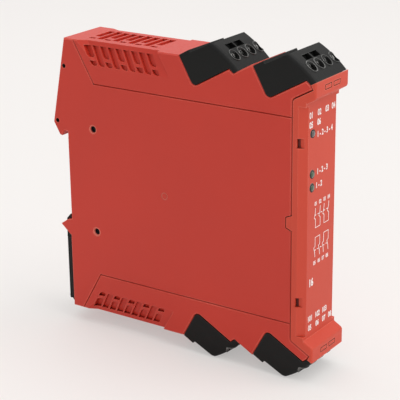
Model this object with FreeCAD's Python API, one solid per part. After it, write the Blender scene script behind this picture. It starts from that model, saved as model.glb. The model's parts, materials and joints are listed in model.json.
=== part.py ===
"""Safety relay in a narrow rail-mount housing, with plug-in screw terminals.

X runs across the width, Y from the front (-) to the rear (+) and Z upwards.  The
origin is the centre of the seat that rests on the 35 mm mounting rail.  The upper
and the lower half of the device mirror each other, apart from the rail hooks.
"""
import FreeCAD, Part
import math
import os
from FreeCAD import Vector

# housing
width = 22.5               # over both side walls
body_height = 107.3        # flat top to flat bottom
wall = 2.0                 # moulded wall of the housing
edge_round = 0.4           # rounding along the outline of each side wall
seam_ahead = 9.8           # seam of the bezel in front of the front pocket's corner
lip_depth = 3.6            # floor of a terminal pocket down to the seam under it
lip_round = 1.2            # rounding where that seam turns down
seat_half = 15.2           # half height of the seat on the rail
seat_relief = 0.3          # the wall steps back this far beside the seat

# terminal pockets, in the tilted frame of a plug
tilt = 29.0                # plug frame against the horizontal
pocket_depth_y = 57.75     # rail seat to the rear corner of the first pocket
pocket_height = 42.9       # that corner above the rail centre line
pocket_pitch = 30.45       # from one pocket to the next, towards the front
pocket_floor = 17.05       # length of the pocket floor
pocket_step = 2.0          # drop from the floor to the sill in front of it
step_run = 0.9             # run of that drop
pocket_corner = 2.0        # rounding of the pocket's rear corner
pocket_gap = 0.25          # clearance between a plug and its pocket
foot_gap = 0.1             # and between its foot and the sill

# rail hooks
rail_height = 35.0
rail_play = 0.2            # between the rail's edges and the hooks
rail_slot = 1.6            # slot for the rail's 1 mm flange
hook_reach = 6.6           # upper hook behind the rail seat
hook_top = 20.6            # height of the hook's rear corner
hook_tip = 2.1             # the hook reaches this far below the slot's end
hook_nose = 2.9            # its tip behind the rail seat
cheek_reach = 5.0          # lower hook cheeks behind the rail seat
cheek_drop = 2.7           # cheek's tip below the edge of the rail
cheek_width = 1.3
back_step = 0.6            # lower back, proud of the rail seat

# bezel
bezel_depth = 5.4          # seam to the print face
face_width = 18.8
face_over = 0.3            # print face past the height of the pockets' corners
bevel_depth = 3.0          # bevel beside the print face, along Y
bevel_stop = 1.2           # it ends this far short of the print face
nose_proud = 3.6           # noses in front of the print face
nose_height = 5.7
nose_round = 1.3           # along its edge beside the print face
nose_side = 0.7            # along its side edges
nose_mark_width = 4.6      # two engraved frames on each nose
nose_mark_height = 1.9
nose_mark_pitch = 5.9
nose_mark_shift = 0.2
mark_line = 0.35
mark_depth = 0.25
bezel_wall = 1.8
seam_gap = 0.3
tab_reach = 2.0            # tab of the bezel in a notch of the side wall
tab_root = 5.4
tab_tip = 3.6
pry_height = 29.1          # pry slots above and below the centre line
pry_size = 3.5
pry_inset = 1.2
catch_height = 23.0        # inner snap arms
catch_length = 7.0
catch_width = 6.0
catch_thick = 1.3
catch_gap = 0.25
catch_hook = 0.6

# vents
vent_count = 9
vent_pitch = 3.49
vent_width = 2.8
vent_depth = 1.0           # side slots, below the relief
vent_rear = 9.4            # rail seat to the first slot, on the top face
vent_slope = 60.0
vent_end = 1.65            # top face down to the upper ends of the side slots
vent_split = 5.85          # to the lower ends of the short ones
vent_resume = 6.95         # to where these go on
vent_length = 8.75         # to the lower ends of all
vent_corner = 0.6          # bevelled corners of the lower ends
relief_drop = 8.75         # top face down to the lower edge of the relief
relief_depth = 1.9         # sloping relief, measured at the top edge
relief_rear = 5.8
relief_ramp = 4.2          # its rear end ramps in over this run
ramp_slope = 42.0
relief_front = 42.6
vent_neck = 7.2            # half width of the room between the reliefs
top_slot_depth = 0.8
long_slot = (-5.9, 6.9)    # ends of the slots across the top face
short_slot = (-2.6, 6.6)
dash_slot = (-6.3, -4.8)

# marks and holes in the side walls
line_width = 0.7           # mitred grooves
line_depth = 0.4
line_height = 37.8         # level lines above and below the centre line
line_rear = 13.4
pin_hole_radius = 1.2
pin_hole_rear = 12.3
pin_hole_height = 20.3
dimple_radius = 0.85
dimple_depth = 3.0
ring_radius = 1.4
ring_width = 0.3
ring_sink = 0.25
ring_depth = 44.5

# plugs
plug_width = 22.1
plug_height = 12.2         # rear ridge above the pocket floor
plug_ridge = 4.8
plug_drop = 1.1            # from the ridge to the top face
apex_run = 14.8            # front edge of the top face
apex_height = 10.6
brow_run = 18.05           # a point half way down the curved front
brow_height = 4.6
foot_run = 20.3            # lower end of the curved front
plug_round = 1.6           # along the sides of the curved front
tongue_half = 8.95
tongue_gap = 0.3           # around the tongue in the housing
tongue_length = 5.2        # below the pocket floor
tongue_skin = 0.5          # around the contact sockets
poles = 4
pole_pitch = 5.08
pole_offset = 1.3          # screws sit off the plug's centre line
mouth_width = 3.6          # screwdriver opening
mouth_length = 4.1
mouth_height = 3.75        # its middle above the pocket floor
mouth_lead = 0.3           # free space in front of the screw's head
niche_width = 4.5          # two niches above and between the openings
niche_low = 6.3
niche_high = 8.5
niche_depth = 3.3          # behind the middle of the curved front

# screw, cage and contact in a pole
screw_height = 3.3         # screw axis above the pocket floor
head_radius = 1.55
head_height = 2.6
head_top = 17.6
slot_width = 0.6
slot_depth = 0.9
shank_radius = 1.1
thread_gap = 0.08
screw_gap = 0.15
collar = 0.5               # ring under the screw's head
cage_width = 3.4
cage_depth = 3.5
cage_roof = 1.3
cage_floor = 0.9
cage_side = 0.6
cage_travel = 2.0
cage_gap = 0.2
wire_space = 2.1           # open height between the cage's floor and the blade
blade_thick = 0.7
blade_half = 0.95
foot_thick = 0.55
socket_run = 4.4           # header pin ahead of the pocket's rear corner
socket_half = 1.0
socket_length = 4.5
pin_size = 0.8
pin_gap = 0.15
entry_width = 2.8
entry_mouth = 3.8
entry_lead = 1.2

# pin headers
header_wall = 1.0
header_base = 1.0
tail_start = 9.2           # first pin turns to the board here, below the floor
tail_pitch = 1.3
tail_end = 1.0             # solder tail past the board

# latch and spring
latch_half = 9.7
latch_plate = 1.8
latch_nose = 3.4           # rear of the nose behind the rail seat
latch_gap = 0.25
latch_overlap = 1.3        # nose over the rail's lower edge
rail_flange = 1.0
latch_inset = 0.45         # its lower end above the housing's
latch_travel = 3.0
foot_bevel = 1.0
stem_half = 3.0
stem_top = 31.0
stem_height = 4.0
head_half = 5.0
stem_head = 1.4
arm_half = 2.2
arm_length = 4.6
spring_radius = 1.5
spring_wire = 0.5
spring_turns = 6
spring_length = 9.0
spring_sections = 10       # flat-sided sections in each turn
ledge_thick = 1.6

# boards and what they carry
board_thick = 1.6
board_left = 7.1           # main board's outer face from the centre plane
board_gap = 0.3
board_ahead = 1.8          # main board's front edge ahead of the seam
board_setback = 11.75      # its tall part ends behind the first pocket's corner
board_drop = 5.2           # its low part under the pockets' corners
logic_right = 8.6
logic_inset = 3.0          # logic board behind the seam
logic_length = 43.0
logic_height = 38.0
relay_length = 29.0
relay_height = 26.0
relay_thick = 12.6
relay_rear = 13.0
relay_spread = 18.0        # relay centres above and below the centre line
lid_height = 0.8
lid_inset = 0.6
transformer_size = 15.5
transformer_ahead = 4.25   # its middle ahead of the first pocket's corner
transformer_thick = 11.6
flange_length = 2.5        # bobbin flanges above and below the core
flange_inset = 2.0
capacitor_radius = 3.6
capacitor_length = 11.0
capacitor_height = 41.0
capacitor_rear = 20.0
capacitor_pitch = 12.0
chip_size = 9.0
chip_thick = 1.2
chip_inset = 13.0          # middle behind the logic board's front edge
chip_height = 12.5
connector_inset = 3.0      # the same for the pin strip
connector_thick = 2.4
connector_height = 22.0
window_radius = 1.5
window_off = 6.8           # windows left of the centre plane
window_heights = (32.0, 17.7, 12.9)
guide_gap = 0.05
guide_thick = 0.7
guide_left = 1.9           # plate around the windows' line
guide_right = 3.2
guide_over = 2.2           # and past the outer windows
led_size = 1.6
led_depth = 2.4

half = width / 2
top = body_height / 2
inner = half - wall
front_pocket = pocket_depth_y + pocket_pitch
seam_depth = front_pocket + seam_ahead
face_depth = seam_depth + bezel_depth
face_end = pocket_height + face_over
logic_front = seam_depth - logic_inset
relief_low = top - relief_drop
cos_t, sin_t = math.cos(math.radians(tilt)), math.sin(math.radians(tilt))
slope_run = 1 / math.tan(math.radians(vent_slope))
slot_top = rail_height / 2 + rail_play
floor_front = pocket_floor + step_run
foot_low = foot_gap - pocket_step
head_bottom = head_top - head_height
collar_top = head_bottom - screw_gap
chamber_top = collar_top - collar
cage_top = chamber_top - cage_gap - cage_travel
blade_top = cage_top - cage_roof - cage_gap
blade_rear = blade_top - blade_thick
cage_bottom = blade_rear - wire_space - cage_floor
chamber_low = screw_height - cage_depth / 2 - cage_gap
board_face = -board_left + board_thick


# helpers
def box(x0, x1, y0, y1, z0, z1):
    """Block between two opposite corners."""
    low = Vector(min(x0, x1), min(y0, y1), min(z0, z1))
    return Part.makeBox(abs(x1 - x0), abs(y1 - y0), abs(z1 - z0), low)


def polygon(points, x):
    """Closed wire through (y, z) pairs in the plane at x."""
    return Part.makePolygon([Vector(x, y, z) for y, z in points + points[:1]])


def prism(points, x0, x1):
    """Outline given as (y, z) pairs, pushed along X."""
    return Part.Face(polygon(points, x0)).extrude(Vector(x1 - x0, 0, 0))


def inset_prism(points, amount, x0, x1):
    """The same, with the outline moved inwards by one wall."""
    wire = polygon(points, x0).makeOffset2D(-amount, 2)
    return Part.Face(wire).extrude(Vector(x1 - x0, 0, 0))


def fuse(shapes):
    return shapes[0].multiFuse(shapes[1:]).removeSplitter()


def both_halves(tools):
    """The tools and their mirror images below the centre line."""
    return tools + [tool.mirror(Vector(0, 0, 0), Vector(0, 0, 1)) for tool in tools]


def both_sides(tools):
    return tools + [tool.mirror(Vector(0, 0, 0), Vector(1, 0, 0)) for tool in tools]


def edges_at(shape, y, z):
    """Edges that run along X through (y, z)."""
    found = []
    for edge in shape.Edges:
        a, b = edge.Vertexes[0].Point, edge.Vertexes[-1].Point
        if abs(a.x - b.x) < 1:
            continue
        if math.hypot(a.y - y, a.z - z) < 0.02 and math.hypot(b.y - y, b.z - z) < 0.02:
            found.append(edge)
    return found


def pocket_point(index, u, v):
    """(y, z) of a point u along and v above the floor of an upper pocket."""
    rear = -pocket_depth_y - index * pocket_pitch
    return rear - u * cos_t + v * sin_t, pocket_height + u * sin_t + v * cos_t


def flipped(points):
    """The (y, z) pairs mirrored below the centre line, in reverse order."""
    return [(y, -z) for y, z in reversed(points)]


def placed(shape, index, side):
    """A shape drawn as (across, along, above) in a plug's frame, in its pocket."""
    rear = -pocket_depth_y - index * pocket_pitch
    matrix = FreeCAD.Matrix(-side, 0, 0, 0,
                            0, -cos_t, sin_t, rear,
                            0, side * sin_t, side * cos_t, side * pocket_height,
                            0, 0, 0, 1)
    copy = shape.copy()
    copy.Placement = FreeCAD.Placement(matrix)
    return copy


def pocket_shapes(maker):
    """One copy of a part in every pocket, upper ones first."""
    return [placed(maker(side), index, side) for side in (1, -1) for index in (0, 1)]


def pole_positions():
    return [-pole_offset + (i - (poles - 1) / 2) * pole_pitch for i in range(poles)]


def pin_positions():
    return [(i - (poles - 1) / 2) * pole_pitch for i in range(poles)]


# housing
def lip_point(seam):
    """Where the underside of the front lip meets a seam at the given depth."""
    run = (seam - front_pocket - lip_depth * sin_t) / cos_t
    return pocket_point(1, run, -lip_depth)


def housing_outline(seam):
    """Side view of the housing, from the seam over the top to the seam again."""
    ridge = pocket_pitch * sin_t - pocket_step
    upper = [lip_point(seam), pocket_point(1, floor_front, -lip_depth),
             pocket_point(1, floor_front, -pocket_step),
             pocket_point(1, pocket_floor, 0), pocket_point(1, 0, 0),
             pocket_point(1, 0, ridge), pocket_point(0, floor_front, -pocket_step),
             pocket_point(0, pocket_floor, 0), pocket_point(0, 0, 0),
             pocket_point(0, 0, (top - pocket_height) / cos_t)]
    hook_low = slot_top - hook_tip
    back = [(0, top), (hook_reach, hook_top), (hook_nose + 1, hook_low + 0.3),
            (hook_nose, hook_low), (rail_slot, slot_top), (0, slot_top),
            (0, -slot_top), (back_step, -slot_top), (back_step, -top)]
    return upper + back + flipped(upper)


def housing_block():
    """Outline pushed to full width, with its corners and side edges rounded."""
    block = prism(housing_outline(seam_depth), -half, half)
    corners = []
    for side in (1, -1):
        for index in (0, 1):
            y, z = pocket_point(index, 0, 0)
            corners += edges_at(block, y, side * z)
    block = block.makeFillet(pocket_corner, corners)
    y, z = lip_point(seam_depth)
    block = block.makeFillet(lip_round, edges_at(block, y, z) + edges_at(block, y, -z))
    sides = []
    for face in block.Faces:
        if abs(abs(face.CenterOfMass.x) - half) < 0.01:
            sides += face.OuterWire.Edges
    return block.makeChamfer(edge_round, sides)


def slope_section(shift):
    """Face across Y whose slanted side is the relief's plane, moved inwards."""
    over = 1.0
    depth = relief_depth * (top + over - relief_low) / (top - relief_low)
    section = [Vector(half - shift, -seam_depth, relief_low),
               Vector(half - shift, -seam_depth, relief_low - over),
               Vector(half + over, -seam_depth, relief_low - over),
               Vector(half + over, -seam_depth, top + over),
               Vector(half - depth - shift, -seam_depth, top + over)]
    return Part.Face(Part.makePolygon(section + section[:1]))


def relief_ramp_tool():
    """Everything outside the plane that ramps into the relief at its rear end."""
    run = Vector(0, -math.cos(math.radians(ramp_slope)), -math.sin(math.radians(ramp_slope)))
    corners = [(-1, -1), (2, 2), (2, seam_depth), (-1, seam_depth)]
    section = [Vector(half - relief_depth * inwards, -relief_rear - along * relief_ramp, top)
               for inwards, along in corners[:2]]
    section += [Vector(half - relief_depth * inwards, -along, top)
                for inwards, along in corners[2:]]
    face = Part.Face(Part.makePolygon(section + section[:1]))
    face.translate(run * -2)
    return face.extrude(run * (2 * relief_drop + 2))


def relief_tool():
    """Sloping cut along the upper edge of the right side wall."""
    over = 1.0
    wedge = slope_section(0).extrude(Vector(0, seam_depth, 0))
    drop = top - relief_low
    window = prism([(over * slope_run, top + over),
                    (-relief_front + over * slope_run, top + over),
                    (-relief_front - drop * slope_run, relief_low),
                    (-drop * slope_run, relief_low)], 0, half + 2)
    return wedge.common(window).common(relief_ramp_tool())


def slanted_slot(depth, high, low):
    """Side slot along the vent slope; high and low count down from the top face."""
    def at(drop, shift):
        return -depth - drop * slope_run + shift, top - drop
    across = vent_width / 2
    bevel = low - vent_corner
    return prism([at(high, -across), at(bevel, -across), at(low, vent_corner - across),
                  at(low, across - vent_corner), at(bevel, across), at(high, across)],
                 inner - 2, half + 1)


def vent_tools():
    """Shallow slots of one upper corner: right side wall and top face."""
    side_slots = []
    top_slots = []
    for column in range(vent_count):
        depth = vent_rear + column * vent_pitch
        spans = [(vent_end, vent_length)]
        rows = [long_slot]
        if column % 2 == 0:
            spans = [(vent_end, vent_split), (vent_resume, vent_length)]
            rows = [short_slot, dash_slot]
        for high, low in spans:
            side_slots.append(slanted_slot(depth, high, low))
        for left, right in rows:
            top_slots.append(box(left, right, -depth - vent_width / 2, -depth + vent_width / 2,
                                 top - top_slot_depth, top + 1))
    outside = slope_section(vent_depth).extrude(Vector(0, seam_depth, 0))
    return both_sides([slot.common(outside) for slot in side_slots]) + top_slots


def groove(start, end):
    """Mitred groove on the right side wall between two (y, z) points."""
    over = 0.3
    y, z = end[0] - start[0], end[1] - start[1]
    spread = line_width / 2 * (line_depth + over) / line_depth / math.hypot(y, z)
    section = [Vector(half - line_depth, start[0], start[1]),
               Vector(half + over, start[0] - z * spread, start[1] + y * spread),
               Vector(half + over, start[0] + z * spread, start[1] - y * spread)]
    return Part.Face(Part.makePolygon(section + section[:1])).extrude(Vector(0, y, z))


def line_tools():
    """Level and slanted groove on the right side wall above the centre line."""
    bend = (-line_rear, line_height)
    rise = top + 1 - line_height
    return [groove(bend, (-seam_depth - 1, line_height)),
            groove(bend, (-line_rear + rise * slope_run, top + 1))]


def side_holes():
    """Round holes and marks of the right side wall."""
    along = Vector(1, 0, 0)
    hole = Part.makeCylinder(pin_hole_radius, wall + 1,
                             Vector(inner - 0.5, -pin_hole_rear, pin_hole_height), along)
    rim = Part.makeCone(pin_hole_radius, pin_hole_radius + 0.6, 0.6,
                        Vector(half - 0.59, -pin_hole_rear, pin_hole_height), along)
    dimples = [Part.makeCylinder(dimple_radius, dimple_depth + 1,
                                 Vector(half - dimple_depth, y, z), along)
               for y, z in ((0.3, 43.0), (4.5, 21.4))]
    return both_halves([hole, rim]) + dimples


def ring_mark():
    along = Vector(1, 0, 0)
    start = Vector(half - ring_sink, -ring_depth, 0)
    disc = Part.makeCylinder(ring_radius, 1, start, along)
    return disc.cut(Part.makeCylinder(ring_radius - ring_width, 1, start, along))


def tab_outline(grow):
    """Trapezoid of the bezel's tab in the side wall, or of its notch."""
    rear = -seam_depth + tab_reach + grow
    root, tip = tab_root / 2 + grow, tab_tip / 2 + grow
    return [(-seam_depth - 1, -root), (-seam_depth, -root), (rear, -tip), (rear, tip),
            (-seam_depth, root), (-seam_depth - 1, root)]


def cheek(x0):
    """Guide cheek of the latch, behind the lower edge of the rail."""
    tip = -rail_height / 2 - cheek_drop
    points = [(-1, -slot_top), (back_step, -slot_top), (2.1, -slot_top - 0.5),
              (cheek_reach, tip), (2.3, tip - 2.3), (back_step, tip - 3.7), (-1, tip - 3.7)]
    return prism(points, x0, x0 + cheek_width)


def housing():
    block = housing_block()
    room = housing_outline(seam_depth + 6)
    high = top + 5
    vent_zone = both_halves([box(-half, half, -relief_front - 6, -1, relief_low - 0.8, high)])
    wide = inset_prism(room, wall, -inner, inner).cut(vent_zone)
    neck = inset_prism(room, wall, -vent_neck, vent_neck)
    shell = fuse([block, cheek(-half), cheek(half - cheek_width)])
    shell = shell.cut([wide, neck])
    ledge_top = -stem_top - stem_height - spring_length
    ledge = box(-inner - 0.5, inner + 0.5, -wall - arm_length - 1, 0,
                ledge_top - ledge_thick, ledge_top)
    shell = fuse([shell, ledge])
    tools = both_halves(both_sides([relief_tool()]) + vent_tools())
    tools += both_sides(both_halves(line_tools()) + side_holes() + [ring_mark()])
    tools += both_sides([prism(tab_outline(seam_gap), inner - 1, half + 1)])
    tools += both_halves([box(-half - 1, half + 1, -seat_relief, rail_flange,
                              seat_half, slot_top)])
    tools += [box(-stem_half - latch_gap, stem_half + latch_gap, -wall - 1, 1,
                  -stem_top - stem_height - latch_travel - latch_gap,
                  -stem_top + latch_gap)]
    tools += both_sides(both_halves([box(inner - 0.5, inner + catch_hook + catch_gap,
                                         -seam_depth + catch_length - 1.9 - catch_gap,
                                         -seam_depth + catch_length + catch_gap,
                                         catch_height - catch_width / 2 - catch_gap,
                                         catch_height + catch_width / 2 + catch_gap)]))
    low, high = socket_run - socket_half - tongue_skin, socket_run + socket_half + tongue_skin
    opening = box(-inner, inner, low - tongue_gap, high + tongue_gap, -wall - 1, 1)
    tools += pocket_shapes(lambda side: opening)
    return shell.cut(tools)


# bezel
def bezel_outline(seam):
    """Side view of the front cover, from the seam over the nose to the seam again."""
    depth = lip_depth + seam_gap
    front = face_depth + nose_proud
    run = (front - front_pocket - pocket_step * sin_t) / cos_t
    nose = pocket_point(1, run, -pocket_step)
    start = pocket_point(1, (seam - front_pocket - depth * sin_t) / cos_t, -depth)
    upper = [(-face_depth, face_end), (-front, nose[1] - nose_height), nose,
             pocket_point(1, floor_front + seam_gap, -pocket_step),
             pocket_point(1, floor_front + seam_gap, -depth), start]
    return upper + flipped(upper)


def snap_arm():
    """Right upper snap arm behind the seam, with its barb."""
    outer = inner - catch_gap
    low, high = catch_height - catch_width / 2, catch_height + catch_width / 2
    tip = -seam_depth + catch_length
    arm = box(outer - catch_thick, outer, -seam_depth - 2, tip, low, high)
    root = box(outer - catch_thick, inner + 0.3, -seam_depth - 2, -seam_depth - seam_gap,
               low, high)
    barb = box(outer - 0.5, inner + catch_hook, tip - 1.6, tip, low, high)
    return [arm, root, barb]


def rounded_cover():
    """Bezel as a block: seam corners, noses and their side edges rounded."""
    outline = bezel_outline(seam_depth + seam_gap)
    block = prism(outline, -half, half)
    y, z = outline[5]
    block = block.makeFillet(lip_round + seam_gap,
                             edges_at(block, y, z) + edges_at(block, y, -z))
    y, z = outline[1]
    block = block.makeFillet(nose_round, edges_at(block, y, z) + edges_at(block, y, -z))
    front = -face_depth - nose_proud
    uprights = [edge for edge in block.Edges
                if edge.BoundBox.YMax < front + 0.01 and edge.BoundBox.XLength < 0.01]
    return block.makeFillet(nose_side, uprights)


def nose_marks():
    """Engraved frames on the upper nose."""
    front = -face_depth - nose_proud
    middle = bezel_outline(seam_depth)[2][1] - nose_height / 2
    frames = []
    for side in (-1, 1):
        x = nose_mark_shift + side * nose_mark_pitch / 2
        wide, high = nose_mark_width / 2, nose_mark_height / 2
        frame = box(x - wide, x + wide, front - 1, front + mark_depth,
                    middle - high, middle + high)
        core = box(x - wide + mark_line, x + wide - mark_line, front - 1, front + mark_depth,
                   middle - high + mark_line, middle + high - mark_line)
        frames.append(frame.cut(core))
    return frames


def front_bezel():
    edge = face_width / 2
    bevel_end = face_end - bevel_stop
    section = [Vector(half, bevel_depth - face_depth, -bevel_end),
               Vector(half + 1, bevel_depth - face_depth, -bevel_end),
               Vector(half + 1, -face_depth - 1, -bevel_end),
               Vector(edge, -face_depth - 1, -bevel_end),
               Vector(edge, -face_depth, -bevel_end)]
    bevel = Part.Face(Part.makePolygon(section + section[:1]))
    bevel = bevel.extrude(Vector(0, 0, 2 * bevel_end))
    room = inset_prism(bezel_outline(seam_depth - 4), bezel_wall, -inner, inner)
    tools = both_sides([bevel]) + [room]
    tools += both_sides(both_halves([box(half - pry_inset, half + 1,
                                         -face_depth - 1, -face_depth + bevel_depth + 0.6,
                                         pry_height - pry_size / 2,
                                         pry_height + pry_size / 2)]))
    tools += both_halves(nose_marks())
    for z in window_heights:
        tools.append(Part.makeCylinder(window_radius, bezel_wall + 2,
                                       Vector(-window_off, -face_depth - 1, z),
                                       Vector(0, 1, 0)))
    shell = rounded_cover().cut(tools)
    tab = prism(tab_outline(0), inner, half - 0.05)
    return fuse([shell] + both_sides([tab] + both_halves(snap_arm())))


def light_guide():
    """Plate behind the print face with one round window for each lamp."""
    rear = -face_depth + bezel_wall
    plate = box(-window_off - guide_left, -window_off + guide_right,
                rear, rear + guide_thick,
                min(window_heights) - guide_over, max(window_heights) + guide_over)
    rods = [Part.makeCylinder(window_radius - guide_gap, bezel_wall + 0.5,
                              Vector(-window_off, -face_depth, z), Vector(0, 1, 0))
            for z in window_heights]
    return fuse([plate] + rods)


# plug
def plug_block():
    """Outside of a plug without its tongue, in its own frame."""
    gap = pocket_gap
    points = [(foot_run, foot_low), (floor_front + gap, foot_low), (pocket_floor + gap, gap),
              (gap, gap), (gap, plug_height), (plug_ridge, plug_height),
              (plug_ridge, plug_height - plug_drop), (apex_run, apex_height)]
    left = -plug_width / 2
    corners = [Vector(left, u, v) for u, v in points]
    edges = [Part.makeLine(a, b) for a, b in zip(corners, corners[1:])]
    brow = Vector(left, brow_run, brow_height)
    edges.append(Part.Arc(corners[-1], brow, corners[0]).toShape())
    block = Part.Face(Part.Wire(edges)).extrude(Vector(plug_width, 0, 0))
    block = block.makeFillet(pocket_corner - gap, edges_at(block, gap, gap))
    fronts = [edge for edge in block.Edges
              if edge.BoundBox.XLength < 0.01 and edge.BoundBox.YMin > apex_run - 0.01
              and edge.Length > plug_height / 2]
    return block.makeFillet(plug_round, fronts)


def mouth(x, u0, u1):
    """Long round-ended opening in front of a screw."""
    radius = mouth_width / 2
    reach = mouth_length / 2 - radius
    ends = [Part.makeCylinder(radius, u1 - u0, Vector(x, u0, mouth_height + shift),
                              Vector(0, 1, 0)) for shift in (-reach, reach)]
    middle = box(x - radius, x + radius, u0, u1, mouth_height - reach, mouth_height + reach)
    return fuse(ends + [middle])


def pole_tools(x):
    """Everything hollow around one screw."""
    wide = cage_width / 2 + cage_gap
    chamber = box(x - wide, x + wide, cage_bottom - cage_gap, chamber_top,
                  chamber_low, screw_height + cage_depth / 2 + cage_gap)
    bore = Part.makeCylinder(shank_radius + screw_gap, collar + 1,
                             Vector(x, chamber_top - 0.5, screw_height), Vector(0, 1, 0))
    seat = Part.makeCylinder(head_radius + screw_gap, head_top + mouth_lead - collar_top,
                             Vector(x, collar_top, screw_height), Vector(0, 1, 0))
    middle = blade_rear - wire_space / 2
    entry = box(x - entry_width / 2, x + entry_width / 2, middle - entry_width / 2,
                middle + entry_width / 2, screw_height, plug_height + 1)
    reach = entry_mouth / 2
    lead = box(x - reach, x + reach, middle - reach, middle + reach,
               plug_height - plug_drop - entry_lead, plug_height + 1)
    return [chamber, bore, seat, entry, lead, mouth(x, head_top + mouth_lead, foot_run + 1)]


def contact(x_pole, x_pin):
    """Blade in the cage, foot under it and socket for the header pin."""
    blade = box(x_pole - blade_half, x_pole + blade_half, blade_rear, blade_top,
                chamber_low - foot_thick, screw_height + cage_depth / 2)
    left, right = min(x_pole, x_pin) - blade_half, max(x_pole, x_pin) + blade_half
    foot = box(left, right, socket_run - socket_half, blade_top,
               chamber_low - foot_thick, chamber_low)
    bottom = chamber_low - foot_thick - socket_length
    socket = box(x_pin - socket_half, x_pin + socket_half, socket_run - socket_half,
                 socket_run + socket_half, bottom, chamber_low)
    room = pin_size / 2 + pin_gap
    hole = box(x_pin - room, x_pin + room, socket_run - room, socket_run + room,
               bottom - 1, chamber_low - foot_thick)
    return fuse([blade, foot, socket]).cut(hole)


def contacts(side):
    pairs = zip(pole_positions(), pin_positions())
    return Part.makeCompound([contact(pole, pin) for pole, pin in pairs])


def plug(side):
    block = plug_block()
    low, high = socket_run - socket_half - tongue_skin, socket_run + socket_half + tongue_skin
    tongue = box(-tongue_half, tongue_half, low, high, -tongue_length, pocket_gap + 1)
    block = fuse([block, tongue])
    tools = []
    for x in pole_positions():
        tools += pole_tools(x)
    for x in pole_positions()[1:3]:
        low = x + (pole_pitch - niche_width) / 2
        tools.append(box(low, low + niche_width, brow_run - niche_depth, foot_run,
                         niche_low, niche_high))
    room = pin_size / 2 + pin_gap
    for x in pin_positions():
        tools.append(box(x - room, x + room, socket_run - room, socket_run + room,
                         -tongue_length - 1, chamber_low - foot_thick))
    block = block.cut(tools)
    return block.cut(contacts(side).Solids)


def screw(x):
    """Slotted clamping screw of one pole."""
    along = Vector(0, 1, 0)
    head = Part.makeCylinder(head_radius, head_height, Vector(x, head_bottom, screw_height), along)
    end = blade_top + cage_gap
    shank = Part.makeCylinder(shank_radius, head_bottom - end + 0.5,
                              Vector(x, end, screw_height), along)
    slot = box(x - slot_width / 2, x + slot_width / 2, head_top - slot_depth, head_top + 1,
               screw_height - 3, screw_height + 3)
    return fuse([head, shank]).cut(slot)


def cage(x):
    """Rising clamp cage with the threaded roof that rides on the screw."""
    low, high = screw_height - cage_depth / 2, screw_height + cage_depth / 2
    body = box(x - cage_width / 2, x + cage_width / 2, cage_bottom, cage_top, low, high)
    side = cage_width / 2 - cage_side
    window = box(x - side, x + side, cage_bottom + cage_floor, cage_top - cage_roof,
                 low - 1, high + 1)
    thread = Part.makeCylinder(shank_radius + thread_gap, cage_roof + 2,
                               Vector(x, cage_top - cage_roof - 1, screw_height),
                               Vector(0, 1, 0))
    return body.cut([window, thread])


# headers
def header(side):
    """Shroud under a pocket floor that takes the plug's tongue."""
    low = socket_run - socket_half - tongue_skin - tongue_gap
    high = socket_run + socket_half + tongue_skin + tongue_gap
    bottom = -tongue_length - tongue_gap - header_base
    body = box(-inner, inner, low - header_wall, high + header_wall, bottom, -wall)
    room = box(-inner, inner, low, high, bottom + header_base, 0)
    return body.cut([room] + header_pins(side))


def header_pins(side):
    """Square pins with tails of growing length that turn to the main board."""
    size = pin_size / 2
    pins = []
    for rank, x in enumerate(reversed(pin_positions())):
        turn = -tail_start - rank * tail_pitch
        stand = box(side * x - size, side * x + size, socket_run - size, socket_run + size,
                    turn - size, 0)
        tail = box(side * x, side * (board_left + tail_end), socket_run - size,
                   socket_run + size, turn - size, turn + size)
        pins.append(fuse([stand, tail]))
    return pins


def all_header_pins():
    return pocket_shapes(lambda side: Part.makeCompound(header_pins(side)))


# latch and spring
def din_latch():
    """Foot latch behind the back wall, with its stem and the arm on the spring."""
    front = back_step + latch_gap
    rear = front + latch_plate
    nose_low = -rail_height / 2 - 2
    nose_top = -rail_height / 2 + latch_overlap
    low = latch_inset - top
    plate = prism([(front, nose_low), (rear, nose_low), (rear, low + foot_bevel * 2),
                   (front, low)], -latch_half, latch_half)
    lead = rail_flange + rail_play
    nose = prism([(front, nose_low - 1), (lead, nose_low), (lead, nose_top), (lead + 0.4, nose_top),
                  (latch_nose, nose_top - 2), (latch_nose, nose_low - 1), (rear, nose_low - 3)],
                 -latch_half, latch_half)
    bottom = -stem_top - stem_height
    stem = box(-stem_half, stem_half, -wall, rear - 0.5, bottom, -stem_top)
    behind = back_step - wall - latch_gap
    head = box(-head_half, head_half, behind - stem_head, behind, bottom, -stem_top)
    neck = box(-stem_half, stem_half, behind - 0.5, 0, bottom, -stem_top)
    arm = box(-arm_half, arm_half, -wall - arm_length, behind - 0.5, bottom, -stem_top)
    return fuse([plate, nose, stem, head, neck, arm])


def latch_spring():
    """Coil under the latch's arm, standing on the housing's ledge."""
    low = -stem_top - stem_height - spring_length + spring_wire / 2
    rise = (spring_length - spring_wire) / spring_turns
    y = -wall - arm_length + spring_radius + spring_wire / 2 + 0.2
    sections = []
    for step in range(spring_turns * spring_sections + 1):
        turn = step / spring_sections
        corners = []
        for corner in range(6):
            angle = math.radians(60 * corner)
            out = spring_radius + spring_wire / 2 * math.cos(angle)
            corners.append(Vector(out * math.cos(2 * math.pi * turn),
                                  y + out * math.sin(2 * math.pi * turn),
                                  low + rise * turn + spring_wire / 2 * math.sin(angle)))
        sections.append(Part.makePolygon(corners + corners[:1]))
    return Part.makeLoft(sections, True, True)


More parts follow.
